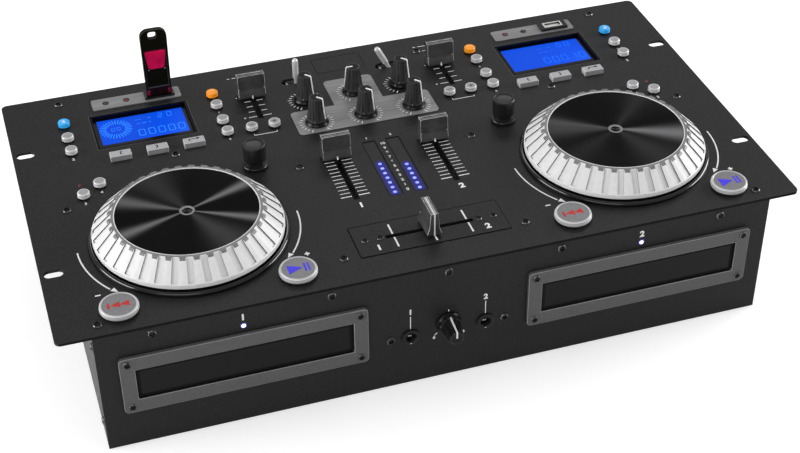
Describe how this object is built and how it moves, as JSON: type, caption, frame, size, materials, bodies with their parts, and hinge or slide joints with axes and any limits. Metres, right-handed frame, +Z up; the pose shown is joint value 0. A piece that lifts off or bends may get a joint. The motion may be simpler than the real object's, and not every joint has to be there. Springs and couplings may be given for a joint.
{
  "type": "dual disc player with mixer",
  "caption": "Rack-width disc jockey console: decks with jog wheels, displays, pitch faders and front disc trays either side of a mixer with rotary knobs and a crossfader.",
  "frame": {"origin": "centre of the case's underside", "axes": "+X to the right of someone at the controls, +Y to the back, +Z up out of the control panel"},
  "size_m": [0.4826, 0.2882, 0.1499],
  "materials": {
    "case_paint": "satin black powder coat",
    "panel_paint": "satin black with white print",
    "front_paint": "satin black",
    "bezel_grey": "matt grey",
    "gloss_black": "glossy black",
    "jog_silver": "silver paint with a black disc",
    "window_glass": "clear with a black border over a blue display",
    "lcd_frame": "display module",
    "brushed_grey": "brushed",
    "socket_black": "matt black",
    "meter_lens": "smoked lens with blue-white lights",
    "socket_metal": "plated",
    "steel_frame": "bare steel",
    "board_green": "circuit board",
    "connector_mix": "matt black",
    "button_silver": "satin silver",
    "button_blue": "translucent blue",
    "button_orange": "translucent orange",
    "knob_black": "matt black with a white pointer",
    "cap_black": "matt black with a white line",
    "tray_black": "glossy door, matt tray",
    "toggle_chrome": "polished",
    "stick_black": "glossy black with a magenta slider"
  },
  "bodies": {
    "console": {"case_shell": "case_paint", "front_panel": "front_paint", "top_panel": "panel_paint", "tray_bezels": "bezel_grey", "jog_bases": "gloss_black", "display_windows": "window_glass", "lcd_modules": "lcd_frame", "label_strips": "brushed_grey", "usb_sockets": "socket_black", "mixer_overlay": "brushed_grey", "crossfader_plate": "panel_paint", "level_meter": "meter_lens", "front_sockets": "socket_black", "disc_loaders": "steel_frame", "fader_units": "steel_frame", "control_board": "board_green", "power_supply": "board_green", "rear_connectors": "connector_mix"},
    "eject_buttons": {"eject_buttons": "button_blue"},
    "continue_buttons": {"continue_buttons": "button_silver"},
    "program_buttons": {"program_buttons": "button_silver"},
    "jog_mode_buttons": {"jog_mode_buttons": "button_silver"},
    "scratch_buttons": {"scratch_buttons": "button_silver"},
    "source_buttons": {"source_buttons": "button_orange"},
    "single_buttons": {"single_buttons": "button_silver"},
    "time_buttons": {"time_buttons": "button_silver"},
    "repeat_buttons": {"repeat_buttons": "button_silver"},
    "bend_down_buttons": {"bend_down_buttons": "button_silver"},
    "bend_up_buttons": {"bend_up_buttons": "button_silver"},
    "loop_in_keys": {"loop_in_keys": "button_silver"},
    "loop_out_keys": {"loop_out_keys": "button_silver"},
    "loop_exit_keys": {"loop_exit_keys": "button_silver"},
    "cue_button_1": {"cue_button_1": "button_silver"},
    "play_button_1": {"play_button_1": "button_silver"},
    "jog_wheel_1": {"jog_wheel_1": "jog_silver"},
    "selector_1": {"selector_1": "knob_black"},
    "pitch_fader_1": {"pitch_fader_1": "cap_black"},
    "channel_fader_1": {"channel_fader_1": "cap_black"},
    "disc_tray_1": {"disc_tray_1": "tray_black"},
    "toggle_1": {"toggle_1": "toggle_chrome"},
    "cue_button_2": {"cue_button_2": "button_silver"},
    "play_button_2": {"play_button_2": "button_silver"},
    "jog_wheel_2": {"jog_wheel_2": "jog_silver"},
    "selector_2": {"selector_2": "knob_black"},
    "pitch_fader_2": {"pitch_fader_2": "cap_black"},
    "channel_fader_2": {"channel_fader_2": "cap_black"},
    "disc_tray_2": {"disc_tray_2": "tray_black"},
    "toggle_2": {"toggle_2": "toggle_chrome"},
    "crossfader": {"crossfader": "cap_black"},
    "tone_knob_1": {"tone_knob_1": "knob_black"},
    "gain_knob_1": {"gain_knob_1": "knob_black"},
    "mic_knob": {"mic_knob": "knob_black"},
    "master_knob": {"master_knob": "knob_black"},
    "tone_knob_2": {"tone_knob_2": "knob_black"},
    "gain_knob_2": {"gain_knob_2": "knob_black"},
    "cue_knob": {"cue_knob": "knob_black"},
    "usb_stick": {"usb_stick": "stick_black"},
    "power_switch": {"power_switch": "gloss_black"}
  },
  "joints": [
    {"name": "eject_buttons_slide", "type": "slide", "parent": "console", "child": "eject_buttons", "axis": [0, 0, -1], "range_m": [0, 0.0008], "stiffness_N_per_m": 300, "springref_m": -0.001},
    {"name": "continue_buttons_slide", "type": "slide", "parent": "console", "child": "continue_buttons", "axis": [0, 0, -1], "range_m": [0, 0.0008], "stiffness_N_per_m": 300, "springref_m": -0.001},
    {"name": "program_buttons_slide", "type": "slide", "parent": "console", "child": "program_buttons", "axis": [0, 0, -1], "range_m": [0, 0.0008], "stiffness_N_per_m": 300, "springref_m": -0.001},
    {"name": "jog_mode_buttons_slide", "type": "slide", "parent": "console", "child": "jog_mode_buttons", "axis": [0, 0, -1], "range_m": [0, 0.0008], "stiffness_N_per_m": 300, "springref_m": -0.001},
    {"name": "scratch_buttons_slide", "type": "slide", "parent": "console", "child": "scratch_buttons", "axis": [0, 0, -1], "range_m": [0, 0.0008], "stiffness_N_per_m": 300, "springref_m": -0.001},
    {"name": "source_buttons_slide", "type": "slide", "parent": "console", "child": "source_buttons", "axis": [0, 0, -1], "range_m": [0, 0.0008], "stiffness_N_per_m": 300, "springref_m": -0.001},
    {"name": "single_buttons_slide", "type": "slide", "parent": "console", "child": "single_buttons", "axis": [0, 0, -1], "range_m": [0, 0.0008], "stiffness_N_per_m": 300, "springref_m": -0.001},
    {"name": "time_buttons_slide", "type": "slide", "parent": "console", "child": "time_buttons", "axis": [0, 0, -1], "range_m": [0, 0.0008], "stiffness_N_per_m": 300, "springref_m": -0.001},
    {"name": "repeat_buttons_slide", "type": "slide", "parent": "console", "child": "repeat_buttons", "axis": [0, 0, -1], "range_m": [0, 0.0008], "stiffness_N_per_m": 300, "springref_m": -0.001},
    {"name": "bend_down_buttons_slide", "type": "slide", "parent": "console", "child": "bend_down_buttons", "axis": [0, 0, -1], "range_m": [0, 0.0008], "stiffness_N_per_m": 300, "springref_m": -0.001},
    {"name": "bend_up_buttons_slide", "type": "slide", "parent": "console", "child": "bend_up_buttons", "axis": [0, 0, -1], "range_m": [0, 0.0008], "stiffness_N_per_m": 300, "springref_m": -0.001},
    {"name": "loop_in_keys_slide", "type": "slide", "parent": "console", "child": "loop_in_keys", "axis": [0, 0, -1], "range_m": [0, 0.0008], "stiffness_N_per_m": 300, "springref_m": -0.001},
    {"name": "loop_out_keys_slide", "type": "slide", "parent": "console", "child": "loop_out_keys", "axis": [0, 0, -1], "range_m": [0, 0.0008], "stiffness_N_per_m": 300, "springref_m": -0.001},
    {"name": "loop_exit_keys_slide", "type": "slide", "parent": "console", "child": "loop_exit_keys", "axis": [0, 0, -1], "range_m": [0, 0.0008], "stiffness_N_per_m": 300, "springref_m": -0.001},
    {"name": "cue_button_1_slide", "type": "slide", "parent": "console", "child": "cue_button_1", "axis": [0, 0, -1], "range_m": [0, 0.0008], "stiffness_N_per_m": 300, "springref_m": -0.001},
    {"name": "play_button_1_slide", "type": "slide", "parent": "console", "child": "play_button_1", "axis": [0, 0, -1], "range_m": [0, 0.0008], "stiffness_N_per_m": 300, "springref_m": -0.001},
    {"name": "jog_wheel_1_turn", "type": "hinge", "parent": "console", "child": "jog_wheel_1", "pos_m": [-0.1452, -0.051, 0.0909], "axis": [0, 0, 1], "continuous": true},
    {"name": "selector_1_turn", "type": "hinge", "parent": "console", "child": "selector_1", "pos_m": [-0.0881, 0.0083, 0.0909], "axis": [0, 0, 1], "continuous": true},
    {"name": "pitch_fader_1_slide", "type": "slide", "parent": "console", "child": "pitch_fader_1", "axis": [0, 1, 0], "range_m": [-0.0265, 0.0265]},
    {"name": "channel_fader_1_slide", "type": "slide", "parent": "console", "child": "channel_fader_1", "axis": [0, -1, 0], "range_m": [0, 0.045]},
    {"name": "disc_tray_1_slide", "type": "slide", "parent": "console", "child": "disc_tray_1", "axis": [0, -1, 0], "range_m": [0, 0.135]},
    {"name": "toggle_1_turn", "type": "hinge", "parent": "console", "child": "toggle_1", "pos_m": [-0.0351, 0.103, 0.0884], "axis": [0, 1, 0], "range_deg": [-28, 28]},
    {"name": "cue_button_2_slide", "type": "slide", "parent": "console", "child": "cue_button_2", "axis": [0, 0, -1], "range_m": [0, 0.0008], "stiffness_N_per_m": 300, "springref_m": -0.001},
    {"name": "play_button_2_slide", "type": "slide", "parent": "console", "child": "play_button_2", "axis": [0, 0, -1], "range_m": [0, 0.0008], "stiffness_N_per_m": 300, "springref_m": -0.001},
    {"name": "jog_wheel_2_turn", "type": "hinge", "parent": "console", "child": "jog_wheel_2", "pos_m": [0.1452, -0.051, 0.0909], "axis": [0, 0, 1], "continuous": true},
    {"name": "selector_2_turn", "type": "hinge", "parent": "console", "child": "selector_2", "pos_m": [0.0881, 0.0083, 0.0909], "axis": [0, 0, 1], "continuous": true},
    {"name": "pitch_fader_2_slide", "type": "slide", "parent": "console", "child": "pitch_fader_2", "axis": [0, 1, 0], "range_m": [-0.0265, 0.0265]},
    {"name": "channel_fader_2_slide", "type": "slide", "parent": "console", "child": "channel_fader_2", "axis": [0, -1, 0], "range_m": [0, 0.045]},
    {"name": "disc_tray_2_slide", "type": "slide", "parent": "console", "child": "disc_tray_2", "axis": [0, -1, 0], "range_m": [0, 0.135]},
    {"name": "toggle_2_turn", "type": "hinge", "parent": "console", "child": "toggle_2", "pos_m": [0.0351, 0.103, 0.0884], "axis": [0, 1, 0], "range_deg": [0, 56]},
    {"name": "crossfader_slide", "type": "slide", "parent": "console", "child": "crossfader", "axis": [1, 0, 0], "range_m": [-0.0225, 0.0225]},
    {"name": "tone_knob_1_turn", "type": "hinge", "parent": "console", "child": "tone_knob_1", "pos_m": [-0.0353, 0.0755, 0.0909], "axis": [0, 0, 1], "range_deg": [-15, 285]},
    {"name": "gain_knob_1_turn", "type": "hinge", "parent": "console", "child": "gain_knob_1", "pos_m": [-0.0353, 0.0451, 0.0909], "axis": [0, 0, 1], "range_deg": [-15, 285]},
    {"name": "mic_knob_turn", "type": "hinge", "parent": "console", "child": "mic_knob", "pos_m": [0, 0.0755, 0.0909], "axis": [0, 0, 1], "range_deg": [-240, 60]},
    {"name": "master_knob_turn", "type": "hinge", "parent": "console", "child": "master_knob", "pos_m": [0, 0.0451, 0.0909], "axis": [0, 0, 1], "range_deg": [-15, 285]},
    {"name": "tone_knob_2_turn", "type": "hinge", "parent": "console", "child": "tone_knob_2", "pos_m": [0.0353, 0.0755, 0.0909], "axis": [0, 0, 1], "range_deg": [-15, 285]},
    {"name": "gain_knob_2_turn", "type": "hinge", "parent": "console", "child": "gain_knob_2", "pos_m": [0.0353, 0.0451, 0.0909], "axis": [0, 0, 1], "range_deg": [-15, 285]},
    {"name": "cue_knob_turn", "type": "hinge", "parent": "console", "child": "cue_knob", "pos_m": [0, -0.131, 0.0441], "axis": [0, -1, 0], "range_deg": [-150, 150]},
    {"name": "usb_stick_slide", "type": "slide", "parent": "console", "child": "usb_stick", "axis": [0, 0, 1], "range_m": [0, 0.02]},
    {"name": "power_switch_turn", "type": "hinge", "parent": "console", "child": "power_switch", "pos_m": [-0.128, 0.131, 0.044], "axis": [1, 0, 0], "range_deg": [-16, 0]}
  ]
}
